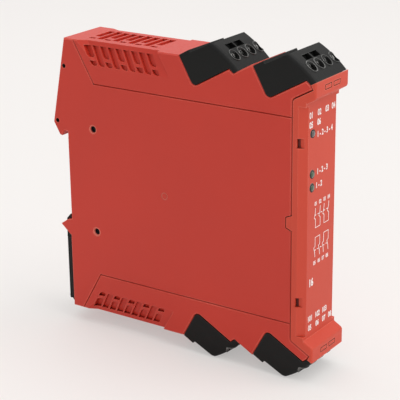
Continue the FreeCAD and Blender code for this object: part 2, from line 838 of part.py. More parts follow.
# boards and components
def main_board():
    rear = -wall - board_gap
    tall = top - wall - board_gap
    low = pocket_height - board_drop
    upper = [(-seam_depth - board_ahead, low), (board_setback - pocket_depth_y, low),
             (board_setback - pocket_depth_y, tall), (rear, tall)]
    board = prism(upper + flipped(upper), -board_left, board_face)
    notch = box(-board_left - 1, board_face + 1, -wall - arm_length - 1 - board_gap, 0,
                -stem_top - stem_height - spring_length - ledge_thick - board_gap,
                -stem_top + latch_gap + 1)
    pins = [solid for group in all_header_pins() for solid in group.Solids]
    return board.cut([notch] + pins)


def logic_board():
    return box(logic_right - board_thick, logic_right, -logic_front,
               logic_length - logic_front, -logic_height / 2, logic_height / 2)


def board_connector():
    """Pin strip that joins the two boards."""
    y = connector_inset - logic_front
    return box(board_face, logic_right - board_thick, y - connector_thick / 2,
               y + connector_thick / 2, -connector_height / 2, connector_height / 2)


def relay(side):
    """Sealed relay with a stepped lid, standing on the main board."""
    y = -relay_rear - relay_length
    low = side * relay_spread - relay_height / 2
    body = box(board_face, board_face + relay_thick - lid_height, y, -relay_rear,
               low, low + relay_height)
    lid = box(board_face, board_face + relay_thick, y + lid_inset, -relay_rear - lid_inset,
              low + lid_inset, low + relay_height - lid_inset)
    return fuse([body, lid])


def transformer():
    """Core with a bobbin flange on each side of the winding."""
    y, size = -pocket_depth_y - transformer_ahead, transformer_size
    core = box(board_face, board_face + transformer_thick, y - size / 2, y + size / 2,
               -size / 2, size / 2)
    ends = [box(board_face, board_face + transformer_thick - flange_inset,
                y - size / 2 + flange_inset, y + size / 2 - flange_inset,
                side * size / 2, side * (size / 2 + flange_length))
            for side in (1, -1)]
    return fuse([core] + ends)


def capacitors():
    return [Part.makeCylinder(capacitor_radius, capacitor_length,
                              Vector(board_face, y, side * capacitor_height), Vector(1, 0, 0))
            for side in (1, -1) for y in (-capacitor_rear, -capacitor_rear - capacitor_pitch)]


def chips():
    """One microcontroller for each channel, on the logic board's inner face."""
    face = logic_right - board_thick
    y = chip_inset - logic_front
    return [box(face - chip_thick, face, y - chip_size / 2, y + chip_size / 2,
                side * chip_height - chip_size / 2, side * chip_height + chip_size / 2)
            for side in (1, -1)]


def leds():
    front = -face_depth + bezel_wall + guide_thick + board_gap
    return [box(board_face, board_face + led_size, front, front + led_depth,
                z - led_size / 2, z + led_size / 2) for z in window_heights]


def save(name, shapes):
    solids = [solid for shape in shapes for solid in shape.Solids]
    whole = solids[0] if len(solids) == 1 else Part.makeCompound(solids)
    if not whole.isValid():
        raise ValueError(name + " is not valid")
    whole.exportStep("parts/" + name + ".step")
    print(name, len(solids), [round(value, 2) for value in
                              (whole.BoundBox.XLength, whole.BoundBox.YLength,
                               whole.BoundBox.ZLength)])


def main():
    os.makedirs("parts", exist_ok=True)
    save("housing", [housing()])
    save("front_bezel", [front_bezel()])
    save("light_guide", [light_guide()])
    for name, index, side in (("top_rear", 0, 1), ("top_front", 1, 1),
                              ("bottom_rear", 0, -1), ("bottom_front", 1, -1)):
        save("plug_" + name, [placed(plug(side), index, side)])
        save("contacts_" + name, [placed(contacts(side), index, side)])
        for number, x in enumerate(pole_positions(), 1):
            save("screw_%s_%d" % (name, number), [placed(screw(x), index, side)])
            save("cage_%s_%d" % (name, number), [placed(cage(x), index, side)])
    save("pin_headers", pocket_shapes(header))
    save("header_pins", all_header_pins())
    save("din_latch", [din_latch()])
    save("latch_spring", [latch_spring()])
    save("main_board", [main_board()])
    save("logic_board", [logic_board()])
    save("board_connector", [board_connector()])
    save("relay_k1", [relay(1)])
    save("relay_k2", [relay(-1)])
    save("transformer", [transformer()])
    save("capacitors", capacitors())
    save("chips", chips())
    save("leds", leds())


main()
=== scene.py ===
import json
import math
import bpy
from mathutils import Matrix, Vector

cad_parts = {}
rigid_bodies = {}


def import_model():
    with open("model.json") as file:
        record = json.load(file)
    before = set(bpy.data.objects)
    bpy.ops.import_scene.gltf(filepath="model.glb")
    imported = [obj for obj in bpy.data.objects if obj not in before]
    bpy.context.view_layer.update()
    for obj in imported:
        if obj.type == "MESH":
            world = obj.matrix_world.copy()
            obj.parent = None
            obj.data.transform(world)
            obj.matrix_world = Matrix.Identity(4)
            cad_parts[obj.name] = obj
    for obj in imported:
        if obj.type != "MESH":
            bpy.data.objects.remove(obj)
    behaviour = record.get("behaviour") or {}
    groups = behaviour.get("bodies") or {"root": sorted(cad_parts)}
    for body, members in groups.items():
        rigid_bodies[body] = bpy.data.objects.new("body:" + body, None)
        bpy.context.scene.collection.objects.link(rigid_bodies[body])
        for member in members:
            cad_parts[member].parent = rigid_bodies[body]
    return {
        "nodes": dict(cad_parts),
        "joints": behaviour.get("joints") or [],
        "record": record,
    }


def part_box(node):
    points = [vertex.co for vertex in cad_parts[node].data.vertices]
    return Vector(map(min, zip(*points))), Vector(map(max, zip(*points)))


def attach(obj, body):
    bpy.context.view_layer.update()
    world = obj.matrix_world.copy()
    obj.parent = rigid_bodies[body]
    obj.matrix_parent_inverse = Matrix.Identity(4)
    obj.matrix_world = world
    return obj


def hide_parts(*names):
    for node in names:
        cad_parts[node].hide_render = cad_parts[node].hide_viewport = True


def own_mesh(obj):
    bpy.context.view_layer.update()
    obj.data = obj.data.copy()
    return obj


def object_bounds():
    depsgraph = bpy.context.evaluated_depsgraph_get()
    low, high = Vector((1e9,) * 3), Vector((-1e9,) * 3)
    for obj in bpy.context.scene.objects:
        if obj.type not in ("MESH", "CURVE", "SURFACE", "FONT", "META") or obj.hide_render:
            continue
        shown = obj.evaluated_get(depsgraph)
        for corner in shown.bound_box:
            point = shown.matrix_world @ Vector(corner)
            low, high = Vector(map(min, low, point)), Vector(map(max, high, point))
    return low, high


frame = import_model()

cadBox = [list(corner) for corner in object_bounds()]
cadNodes = frame["nodes"]
print("frame loaded:", len(cadNodes), "nodes")


# small helpers for materials
class Wire:
    # a shader socket that can be used in plain sums
    def __init__(self, paint, socket):
        self.paint = paint
        self.socket = socket

    def sum(self, operation, *terms):
        inputs = dict(enumerate(terms))
        return self.paint.node("ShaderNodeMath", {"operation": operation}, inputs)

    def __add__(self, other):
        return self.sum("ADD", self, other)

    def __radd__(self, other):
        return self.sum("ADD", other, self)

    def __sub__(self, other):
        return self.sum("SUBTRACT", self, other)

    def __rsub__(self, other):
        return self.sum("SUBTRACT", other, self)

    def __mul__(self, other):
        return self.sum("MULTIPLY", self, other)

    def __rmul__(self, other):
        return self.sum("MULTIPLY", other, self)

    def over(self, other):
        return self.sum("GREATER_THAN", self, other)

    def under(self, other):
        return self.sum("LESS_THAN", self, other)

    def fold(self, height):
        # up to the height and back down, again and again
        return self.sum("PINGPONG", self, height)

    def spread(self, low, high):
        # 0 at low, 1 at high and held there
        settings = {"interpolation_type": "SMOOTHSTEP"}
        inputs = {"Value": self, "From Min": low, "From Max": high}
        return self.paint.node("ShaderNodeMapRange", settings, inputs)


paintPlan = {
    "edgeSamples": 4,
    "edgeRange": (0.01, 0.12),     # how far the normals part, from flat to sharp
    "nookSamples": 8,
    "nookRange": (0.2, 0.6),       # how much of the sky is hidden
}


class Paint:
    # one material: its shader, and a single way to add any other node
    def __init__(self, name, **plain):
        self.material = bpy.data.materials.new(name)
        self.material.use_nodes = True
        self.tree = self.material.node_tree
        self.shader = self.tree.nodes["Principled BSDF"]
        for key, value in plain.items():
            self.shader.inputs[key.replace("_", " ")].default_value = value
        self.where = self.node("ShaderNodeTexCoord", output="Object")

    def node(self, kind, settings=None, inputs=None, output=0):
        made = self.tree.nodes.new(kind)
        for key, value in (settings or {}).items():
            setattr(made, key, value)
        for key, value in (inputs or {}).items():
            self.plug(made.inputs[key], value)
        return Wire(self, made.outputs[output])

    def plug(self, socket, value):
        if isinstance(value, Wire):
            self.tree.links.new(value.socket, socket)
        else:
            socket.default_value = value

    def feed(self, name, value):
        self.plug(self.shader.inputs[name], value)

    def axis(self, name):
        return self.node("ShaderNodeSeparateXYZ", {}, {"Vector": self.where}, name)

    def noise(self, scale, detail=2.0, roughness=0.5):
        inputs = {"Vector": self.where, "Scale": scale, "Detail": detail,
                  "Roughness": roughness}
        return self.node("ShaderNodeTexNoise", {}, inputs)

    def blend(self, amount, first, second):
        # colour mix; the sockets 6 and 7 are the colour ones
        settings = {"data_type": "RGBA"}
        return self.node("ShaderNodeMix", settings, {0: amount, 6: first, 7: second}, 2)

    def bump(self, height, strength, distance):
        inputs = {"Height": height, "Strength": strength, "Distance": distance}
        self.feed("Normal", self.node("ShaderNodeBump", {}, inputs))

    def edges(self, radius):
        # 1 along sharp edges, 0 on the flats
        soft = self.node("ShaderNodeBevel", {"samples": paintPlan["edgeSamples"]},
                         {"Radius": radius})
        hard = self.node("ShaderNodeNewGeometry", output="Normal")
        close = self.node("ShaderNodeVectorMath", {"operation": "DOT_PRODUCT"},
                          {0: soft, 1: hard}, "Value")
        return (1 - close).spread(*paintPlan["edgeRange"])

    def shadeInNooks(self, reach):
        # 1 deep in grooves and gaps, 0 on open faces; it masks the painted shade there
        openness = self.node("ShaderNodeAmbientOcclusion",
                             {"samples": paintPlan["nookSamples"]}, {"Distance": reach}, "AO")
        return (1 - openness).spread(*paintPlan["nookRange"])


def tone(colour, gain):
    return [channel * gain for channel in colour] + [1.0]


# moulded plastics
plasticGrain = {
    "cloudDetail": 3.0,
    "cloudRange": (0.25, 0.75),
    "speckDetail": 2.0,
    "speckRoughness": 0.7,
    "wearAndHighlightRange": (0.3, 0.6),     # where the clouds let an edge look worn and lit: wear with a painted highlight
    "speckDulling": 0.16,        # how far the specks change the roughness
    "wornPolish": 0.1,           # how much smoother a worn edge is
    "speckShare": 0.5,           # of the grain's height
}


def mouldedPlastic(name, look):
    paint = Paint(name, IOR=look["ior"], Specular_IOR_Level=look["shine"])
    cloud = paint.noise(look["cloudScale"], plasticGrain["cloudDetail"])
    speck = paint.noise(look["speckScale"], plasticGrain["speckDetail"],
                        plasticGrain["speckRoughness"])
    # painted shade: grooves, gaps and seams darkened by ambient occlusion
    nookShadeMask = paint.shadeInNooks(look["nookReach"])
    # edges lightened: partly wear, partly a painted highlight where light catches them, kept out
    # of the painted shade
    edgeWearAndHighlight = (paint.edges(look["edgeRadius"]) * cloud.spread(*plasticGrain["wearAndHighlightRange"])
            * (1 - nookShadeMask))
    base = paint.blend(cloud.spread(*plasticGrain["cloudRange"]),
                       tone(look["colour"], 1 - look["shift"]),
                       tone(look["colour"], 1 + look["shift"]))
    rubbedAndLit = paint.blend(edgeWearAndHighlight * look["wearAndHighlight"], base, look["wearAndHighlightColour"])
    # the painted shade goes over the base colour in grooves and gaps
    paint.feed("Base Color", paint.blend(nookShadeMask * look["nookShade"], rubbedAndLit, look["nookShadeColour"]))
    paint.feed("Roughness", look["roughness"] + (speck - 0.5) * plasticGrain["speckDulling"]
               - edgeWearAndHighlight * plasticGrain["wornPolish"])
    grain = paint.noise(look["grainScale"], 1.0) + speck * plasticGrain["speckShare"]
    paint.bump(grain, look["grain"], look["grainDepth"])
    return paint.material


housingLook = {
    "colour": (0.55, 0.0305, 0.0142),
    # edge colour: wear and a painted highlight
    "wearAndHighlightColour": (0.84, 0.23, 0.16, 1.0),
    "wearAndHighlight": 0.85,
    # colour of the painted shade in grooves and gaps
    "nookShadeColour": (0.07, 0.006, 0.005, 1.0),
    "nookShade": 0.78,
    "nookReach": 0.0006,
    "shift": 0.035,
    "ior": 1.46,
    "shine": 0.5,
    "roughness": 0.46,
    "cloudScale": 22.0,
    "speckScale": 900.0,
    "edgeRadius": 0.00045,
    "grainScale": 2600.0,
    "grain": 0.35,
    "grainDepth": 0.00006,
}
# the front cover's red, lighter and greener than the housing's: a painted sheen of the lit front
bezelSheenLook = dict(housingLook, colour=(0.605, 0.056, 0.0255), roughness=0.5)
plugLook = {
    "colour": (0.0068, 0.0072, 0.007),
    "wearAndHighlightColour": (0.085, 0.088, 0.085, 1.0),
    "wearAndHighlight": 0.6,
    "nookShadeColour": (0.002, 0.002, 0.002, 1.0),
    "nookShade": 0.6,
    "nookReach": 0.0006,
    "shift": 0.12,
    "ior": 1.42,
    "shine": 0.22,
    "roughness": 0.42,
    "cloudScale": 40.0,
    "speckScale": 1100.0,
    "edgeRadius": 0.0004,
    "grainScale": 2400.0,
    "grain": 0.45,
    "grainDepth": 0.00007,
}
# lighter grey than the plugs: a painted highlight on the rims round the screw openings
rimHighlightLook = dict(plugLook, colour=(0.035, 0.036, 0.035), wearAndHighlightColour=(0.24, 0.24, 0.235, 1.0),
               wearAndHighlight=1.0, shine=0.5, roughness=0.3)
# lighter red: scuffed plastic on the ring marks, a painted highlight on the lips of the pin
# holes
scuffAndHighlightLook = dict(housingLook, colour=(0.68, 0.15, 0.105))
# very dark red: painted shade inside the pry slots
pryShadeLook = dict(housingLook, colour=(0.085, 0.008, 0.006), wearAndHighlight=0.1)
latchLook = dict(plugLook, roughness=0.5, grain=0.3)
headerLook = dict(plugLook, colour=(0.02, 0.02, 0.022), roughness=0.55, wearAndHighlight=0.2)


# metals
metalGrain = {
    "smearDetail": 4.0,
    "smearRange": (0.3, 0.7),
    "scuffRoughness": 0.8,
    "scuffDulling": 0.3,
    "edgeRadius": 0.00015,
    "relief": 0.3,
    "reliefDepth": 0.00003,
}


def platedMetal(name, look):
    paint = Paint(name, Metallic=1.0)
    smear = paint.noise(look["smearScale"], metalGrain["smearDetail"])
    scuff = paint.noise(look["scuffScale"], 1.0, metalGrain["scuffRoughness"])
    base = paint.blend(smear.spread(*metalGrain["smearRange"]), look["colour"], look["dull"])
    # painted glints: sharp edges lightened towards the glint colour
    edge = paint.edges(metalGrain["edgeRadius"])
    paint.feed("Base Color", paint.blend(edge * look["edgeShare"], base, look["glintColour"]))
    paint.feed("Roughness", look["roughness"] + (scuff - 0.5) * metalGrain["scuffDulling"])
    paint.bump(scuff, metalGrain["relief"], metalGrain["reliefDepth"])
    return paint.material


screwLook = {
    "colour": (0.34, 0.34, 0.33, 1.0),
    "dull": (0.07, 0.07, 0.07, 1.0),
    "glintColour": (0.95, 0.95, 0.93, 1.0),
    "roughness": 0.24,
    # share of the painted glint on the edges
    "edgeShare": 0.85,
    "smearScale": 420.0,
    "scuffScale": 2500.0,
}
cageLook = dict(screwLook, roughness=0.36, colour=(0.66, 0.66, 0.64, 1.0),
                dull=(0.50, 0.50, 0.49, 1.0))
pinLook = dict(cageLook, roughness=0.3, colour=(0.70, 0.70, 0.69, 1.0))
brassLook = dict(screwLook, colour=(0.74, 0.53, 0.22, 1.0), dull=(0.50, 0.33, 0.12, 1.0),
                 glintColour=(0.9, 0.72, 0.38, 1.0))


# boards and components
def circuitBoard(name, look):
    paint = Paint(name)
    wander = paint.noise(look["wanderScale"], 1.0)
    rows = ((paint.axis("Y") + wander * look["rowWander"]) * look["trackPitch"]).fold(1.0)
    columns = ((paint.axis("Z") + wander * look["columnWander"]) * look["trackPitch"]).fold(1.0)
    pick = paint.noise(look["patchScale"], 0.0).over(0.5)
    width = look["trackWidth"]
    tracks = rows.under(width) * pick + columns.under(width) * (1 - pick)
    pads = paint.node("ShaderNodeTexVoronoi", {"distance": "CHEBYCHEV"},
                      {"Vector": paint.where, "Scale": look["padScale"]}, "Distance")
    mask = paint.blend(tracks, look["mask"], look["trackMask"])
    spots = pads.under(look["padSize"])
    paint.feed("Base Color", paint.blend(spots, mask, look["tin"]))
    paint.feed("Metallic", spots * look["tinMetal"])
    paint.feed("Roughness", look["roughness"] - spots * look["tinPolish"])
    paint.bump(tracks + spots, look["relief"], look["reliefDepth"])
    return paint.material


boardLook = {
    "mask": (0.006, 0.085, 0.03, 1.0),
    "trackMask": (0.018, 0.16, 0.055, 1.0),
    "tin": (0.62, 0.62, 0.58, 1.0),
    "tinMetal": 0.9,
    "tinPolish": 0.1,
    "roughness": 0.38,
    "wanderScale": 70.0,
    "rowWander": 0.004,
    "columnWander": 0.003,
    "patchScale": 38.0,       # patches whose tracks run one way
    "trackPitch": 800.0,
    "trackWidth": 0.35,
    "padScale": 260.0,
    "padSize": 0.16,
    "relief": 0.4,
    "reliefDepth": 0.00004,
}
caseGrain = {
    "cloudScale": 60.0,
    "cloudRange": (0.3, 0.7),
    "speckScale": 1500.0,
    "speckDulling": 0.2,
    "edgeRadius": 0.0003,
    "edgeShare": 0.5,
    "metal": 0.85,
    "metalCloud": 0.1,
    "relief": 0.3,
    "reliefDepth": 0.00005,
}


def componentCase(name, look):
    paint = Paint(name)
    cloud = paint.noise(caseGrain["cloudScale"], 2.0)
    speck = paint.noise(caseGrain["speckScale"], 1.0)
    edge = paint.edges(caseGrain["edgeRadius"])
    base = paint.blend(cloud.spread(*caseGrain["cloudRange"]), look["colour"], look["second"])
    paint.feed("Base Color", paint.blend(edge * caseGrain["edgeShare"], base, look["edge"]))
    paint.feed("Roughness", look["roughness"] + (speck - 0.5) * caseGrain["speckDulling"])
    if look["metal"]:
        paint.feed("Metallic", caseGrain["metal"] + cloud * caseGrain["metalCloud"])
    paint.bump(speck, caseGrain["relief"], caseGrain["reliefDepth"])
    return paint.material


relayLook = {"colour": (0.05, 0.065, 0.11, 1.0), "second": (0.04, 0.05, 0.09, 1.0),
             "edge": (0.16, 0.18, 0.24, 1.0), "roughness": 0.32, "metal": False}
coreLook = {"colour": (0.06, 0.06, 0.065, 1.0), "second": (0.1, 0.1, 0.1, 1.0),
            "edge": (0.2, 0.2, 0.2, 1.0), "roughness": 0.55, "metal": False}
canLook = {"colour": (0.5, 0.51, 0.53, 1.0), "second": (0.42, 0.43, 0.46, 1.0),
           "edge": (0.8, 0.8, 0.8, 1.0), "roughness": 0.34, "metal": True}
chipLook = {"colour": (0.018, 0.018, 0.02, 1.0), "second": (0.026, 0.026, 0.028, 1.0),
            "edge": (0.09, 0.09, 0.09, 1.0), "roughness": 0.5, "metal": False}


clearGrain = {
    "cloudScale": 500.0,
    "cloudRange": (0.3, 0.7),
    "cloudDulling": 0.1,
    "relief": 0.2,
    "reliefDepth": 0.00004,
}


def clearPlastic(name, look):
    paint = Paint(name, IOR=1.49, Coat_Weight=look.get("coat", 0.0), Coat_Roughness=0.03)
    cloud = paint.noise(clearGrain["cloudScale"], 2.0)
    base = paint.blend(cloud.spread(*clearGrain["cloudRange"]), look["colour"], look["second"])
    paint.feed("Base Color", base)
    paint.feed("Roughness", look["roughness"] + (cloud - 0.5) * clearGrain["cloudDulling"])
    paint.bump(cloud, clearGrain["relief"], clearGrain["reliefDepth"])
    return paint.material


guideLook = {"colour": (0.10, 0.115, 0.105, 1.0), "second": (0.06, 0.075, 0.065, 1.0),
             "roughness": 0.14}
greenLensLook = {"colour": (0.03, 0.085, 0.03, 1.0), "second": (0.008, 0.03, 0.012, 1.0),
                 "roughness": 0.1, "coat": 1.0}
greyLensLook = {"colour": (0.075, 0.065, 0.06, 1.0), "second": (0.02, 0.02, 0.022, 1.0),
                "roughness": 0.1, "coat": 1.0}
inkLook = {"colour": (0.97, 0.94, 0.93, 1.0), "second": (0.90, 0.87, 0.86, 1.0),
           "roughness": 0.5}

finishes = {
    "housing_red": mouldedPlastic("housingRed", housingLook),
    "bezel_red": mouldedPlastic("bezelRedSheen", bezelSheenLook),
    "plug_black": mouldedPlastic("plugBlack", plugLook),
    "latch_black": mouldedPlastic("latchBlack", latchLook),
    "header_black": mouldedPlastic("headerBlack", headerLook),
    "plug_rim": mouldedPlastic("plugRimHighlight", rimHighlightLook),
    "scuffed_and_lit_red": mouldedPlastic("scuffedAndLitRed", scuffAndHighlightLook),
    "pry_shade_red": mouldedPlastic("pryShadeRed", pryShadeLook),
    "screw_steel": platedMetal("screwZinc", screwLook),
    "cage_steel": platedMetal("cageZinc", cageLook),
    "spring_steel": platedMetal("springWire", cageLook),
    "tinned_pin": platedMetal("pinTin", pinLook),
    "contact_brass": platedMetal("contactBrass", brassLook),
    "board_green": circuitBoard("boardMask", boardLook),
    "relay_case": componentCase("relayCase", relayLook),
    "core_dark": componentCase("coreFerrite", coreLook),
    "can_sleeve": componentCase("canAluminium", canLook),
    "chip_black": componentCase("chipMould", chipLook),
    "lamp_green": clearPlastic("lampGreen", greenLensLook),
    "clear_guide": clearPlastic("guideClear", guideLook),
}
slotOf = {part["node"]: part["material_slot"] for part in frame["record"]["subparts"]}
for name, node in cadNodes.items():
    node.data.materials.clear()
    node.data.materials.append(finishes[slotOf[name]])
print("materials made:", len(finishes))


# mesh helpers
meshPlan = {
    "facing": 0.9,         # how squarely a picked face looks the asked way
    "solidAngle": 0.6,     # creases sharper than this stay sharp
    "wireAngle": 0.8,
}


def added(add, **settings):
    # a new object, selected on its own
    bpy.ops.object.select_all(action="DESELECT")
    add(**settings)
    return bpy.context.object


def alone(piece):
    bpy.ops.object.select_all(action="DESELECT")
    piece.select_set(True)
    bpy.context.view_layer.objects.active = piece
    return piece


def settle(piece, name, finish, body="device"):
    # place goes into the mesh, then the piece gets its finish and its body
    alone(piece)
    bpy.ops.object.transform_apply(location=True, rotation=True, scale=True)
    piece.name = name
    piece.data.name = name
    piece.data.materials.clear()
    piece.data.materials.append(finish)
    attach(piece, body)
    return piece


def cutAway(place, normal, **keep):
    # what lies very close to the plane counts as on it
    bpy.ops.object.mode_set(mode="EDIT")
    bpy.ops.mesh.select_all(action="SELECT")
    bpy.ops.mesh.bisect(plane_co=place, plane_no=normal, **keep)
    bpy.ops.object.mode_set(mode="OBJECT")


def pickFaces(piece, direction):
    # in edit mode afterwards, with only the faces that look that way selected
    bpy.ops.object.mode_set(mode="EDIT")
    bpy.ops.mesh.select_mode(type="FACE")
    bpy.ops.mesh.select_all(action="DESELECT")
    bpy.ops.object.mode_set(mode="OBJECT")
    for polygon in piece.data.polygons:
        polygon.select = polygon.normal.dot(Vector(direction)) > meshPlan["facing"]
    bpy.ops.object.mode_set(mode="EDIT")


def pushFaces(move):
    bpy.ops.mesh.extrude_region_move(TRANSFORM_OT_translate={"value": move})


# print on the front cover
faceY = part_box("light_guide")[0][1]     # front of the light guide lies in the print face
ink = clearPlastic("printInk", inkLook)
printPlan = {
    "thick": 0.00005,
    "lineWidth": 0.00034,
    "bold": 0.1,        # of what a number is taller than plainHeight
    "plainHeight": 0.0009,
    "fontSize": 1.35,    # per height of a number
    "narrow": 0.82,
    "lineFlatness": 0.3,
    # text, across, up, height
    "numbers": [
        ("01", -0.0077, 0.0376, 0.0022), ("02", -0.0022, 0.0376, 0.0022),
        ("03", 0.0031, 0.0376, 0.0022), ("04", 0.0075, 0.0376, 0.0022),
        ("05", -0.0077, 0.0342, 0.0022), ("06", -0.0024, 0.0342, 0.0022),
        ("1 - 2 - 3 - 4", 0.0018, 0.0300, 0.0021), ("1 - 2 - 3", 0.0004, 0.0166, 0.0021),
        ("1 - 2", -0.0018, 0.0117, 0.0021),
        ("01", -0.0037, 0.0054, 0.0015), ("02", -0.0007, 0.0054, 0.0015),
        ("03", 0.0024, 0.0054, 0.0015), ("04", 0.0054, 0.0054, 0.0015),
        ("05", -0.0041, -0.0165, 0.0015), ("06", -0.0010, -0.0165, 0.0015),
        ("07", 0.0019, -0.0165, 0.0015), ("08", 0.0048, -0.0165, 0.0015),
        ("16", -0.0063, -0.0238, 0.0028),
        ("101", -0.0066, -0.0371, 0.0021), ("102", -0.0014, -0.0371, 0.0021),
        ("103", 0.0036, -0.0371, 0.0021),
        ("05", -0.0067, -0.0406, 0.0021), ("06", -0.0014, -0.0406, 0.0021),
        ("07", 0.0033, -0.0406, 0.0021), ("08", 0.0077, -0.0406, 0.0021),
    ],
}


def inked(piece, name):
    # a text or a curve becomes a painted mesh
    alone(piece)
    bpy.ops.object.convert(target="MESH")
    return settle(bpy.context.object, name, ink)


def printNumber(text, across, up, height, index):
    label = added(bpy.ops.object.text_add, location=(across, faceY, up),
                  rotation=(math.pi / 2, 0, 0))
    label.data.body = text
    label.data.size = height * printPlan["fontSize"]
    label.data.align_x = "CENTER"
    label.data.bevel_depth = (height - printPlan["plainHeight"]) * printPlan["bold"]
    label.data.bevel_resolution = 0
    label.scale = (printPlan["narrow"], 1, printPlan["thick"] / label.data.bevel_depth)
    return inked(label, "print%02d" % index)


for index, entry in enumerate(printPlan["numbers"]):
    printNumber(*entry, index)
print("numbers printed:", len(printPlan["numbers"]))


def printLine(name, runs):
    # open runs of (across, up) points become one flat painted line drawing
    curve = bpy.data.curves.new(name, "CURVE")
    curve.dimensions = "3D"
    curve.bevel_depth = printPlan["lineWidth"] / 2
    curve.bevel_resolution = 1
    curve.use_fill_caps = True
    for run in runs:
        spline = curve.splines.new("POLY")
        spline.points.add(len(run) - 1)
        for point, (across, up) in zip(spline.points, run):
            point.co = (across, 0, up, 1)
    line = bpy.data.objects.new(name, curve)
    bpy.context.scene.collection.objects.link(line)
    line.scale = (1, printPlan["lineFlatness"], 1)
    line.location = (0, faceY, 0)
    return inked(line, name)


contactPlan = {
    "pairs": (-0.00217, 0.00384),    # middle of each looped pair
    "reach": 0.00165,
    "lean": 0.0009,
    "bend": (0.25, 0.3),    # where a contact turns: share of the lean, share of the way up
    "barAt": 0.7,           # share of the lean at which the bar crosses
    "barParts": 9,          # dashes and the gaps between them
    # free end, bar, knee, step back, loop end
    "heights": (0.0045, 0.0019, 0.00095, 0.0004, -0.0028),
    "lowerShift": -0.0092,
}


def contactRuns(flip, shift):
    runs = []
    lean = contactPlan["lean"]
    top, bar, knee, step, end = [flip * height + shift for height in contactPlan["heights"]]
    bendAcross, bendUp = contactPlan["bend"]
    for middle in contactPlan["pairs"]:
        left, right = middle - contactPlan["reach"], middle + contactPlan["reach"]
        for side in (left, right):
            bend = (side - lean * bendAcross, bar + (top - bar) * bendUp)
            runs.append([(side, top), bend, (side - lean, knee), (side, step)])
        runs.append([(left, step), (left, end), (right, end), (right, step)])
    first, last = contactPlan["pairs"]
    at = first - contactPlan["reach"] - lean * contactPlan["barAt"]
    stop = last + contactPlan["reach"] - lean * contactPlan["barAt"]
    dash = (stop - at) / contactPlan["barParts"]
    for count in range(0, contactPlan["barParts"], 2):
        runs.append([(at + dash * count, bar), (at + dash * (count + 1), bar)])
    return runs


printLine("contactsUpper", contactRuns(1, 0.0))
printLine("contactsLower", contactRuns(-1, contactPlan["lowerShift"]))
print("contact drawing printed")


# lamp lenses
lensPlan = {
    "radius": 0.0012,
    "proud": 0.00055,
    "heights": (0.0319, 0.0174, 0.0125),
    "across": -0.0065,
    "ring": 0.00018,
    "ringOut": 0.6,      # how far out the ring's middle lies, in ring sizes
    "clear": 0.00002,    # from the print face to the plane that cuts the lens
}


def lampLens(index, up):
    lens = added(bpy.ops.mesh.primitive_uv_sphere_add, segments=32, ring_count=16,
                 radius=lensPlan["radius"], location=(lensPlan["across"], faceY, up))
    lens.scale = (1, lensPlan["proud"] / lensPlan["radius"], 1)
    bpy.ops.object.transform_apply(location=False, rotation=False, scale=True)
    cutAway((lensPlan["across"], faceY - lensPlan["clear"], up), (0, 1, 0),
            clear_outer=True, use_fill=True)
    bpy.ops.object.shade_smooth_by_angle(angle=meshPlan["solidAngle"])
    finish = finishes["lamp_green"] if index else clearPlastic("lampGrey", greyLensLook)
    return settle(lens, "lens%d" % index, finish)


def lensShadeRing(index, up):
    # dark rim round the lens, painting the shade of the window round it; only its front half
    # stands out of the cover
    place = (lensPlan["across"], faceY, up)
    reach = lensPlan["radius"] + lensPlan["ring"] * lensPlan["ringOut"]
    ring = added(bpy.ops.mesh.primitive_torus_add, major_radius=reach,
                 minor_radius=lensPlan["ring"], major_segments=32, minor_segments=10,
                 location=place, rotation=(math.pi / 2, 0, 0))
    cutAway(place, (0, 1, 0), clear_outer=True)
    bpy.ops.object.shade_smooth_by_angle(angle=meshPlan["wireAngle"])
    return settle(ring, "lensRing%d" % index, finishes["header_black"])


for index, up in enumerate(lensPlan["heights"]):
    lampLens(index, up)
    lensShadeRing(index, up)
print("lenses made")


# raised rims round the screw openings, whole rings partly sunk in the plugs; their grey finish
# paints highlights along the rims
rimPlan = {
    "radius": 0.00197,
    "wire": 0.00017,
    "stretch": 1.2,     # longer up the front than across
    "lean": 23.0,       # of the curved front at the openings
    "ahead": 0.00213,   # from the screw's middle
    "up": 0.00045,
    "edgeRound": 0.0016,    # of the plug's long edges, which the outer rims follow
}
jointAt = {joint["name"]: joint for joint in frame["joints"]}


def modelRim():
    rim = added(bpy.ops.mesh.primitive_torus_add, major_radius=rimPlan["radius"],
                minor_radius=rimPlan["wire"], major_segments=40, minor_segments=10)
    rim.scale = (1, rimPlan["stretch"], 1)
    bpy.ops.object.transform_apply(location=False, rotation=False, scale=True)
    bpy.ops.object.shade_smooth_by_angle(angle=meshPlan["wireAngle"])
    return rim


def placeRim(model, joint):
    plug = joint["parent"]
    out = -Vector(joint["axis"])
    pull = Vector(jointAt[plug + "_pull"]["axis"])
    lean = math.radians(rimPlan["lean"])
    face = math.cos(lean) * out + math.sin(lean) * pull
    along = math.cos(lean) * pull - math.sin(lean) * out
    middle = Vector(joint["pos_m"]) + rimPlan["ahead"] * out + rimPlan["up"] * pull
    rim = model.copy()
    rim.data = model.data.copy()
    bpy.context.scene.collection.objects.link(rim)
    turn = Matrix((along.cross(face), along, face)).transposed()
    rim.matrix_world = Matrix.Translation(middle) @ turn.to_4x4()
    settle(rim, joint["child"].replace("screw", "rim"), finishes["plug_rim"], plug)
    edgeRound = rimPlan["edgeRound"]
    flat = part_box(plug)[1][0] - edgeRound
    for vertex in rim.data.vertices:
        over = min(max(abs(vertex.co.x) - flat, 0), edgeRound)
        vertex.co -= face * (edgeRound - math.sqrt(edgeRound ** 2 - over ** 2))


rimModel = modelRim()
screwJoints = [joint for joint in frame["joints"] if joint["name"].startswith("screw_")]
for joint in screwJoints:
    placeRim(rimModel, joint)
bpy.data.objects.remove(rimModel)
print("opening rims made:", len(screwJoints))


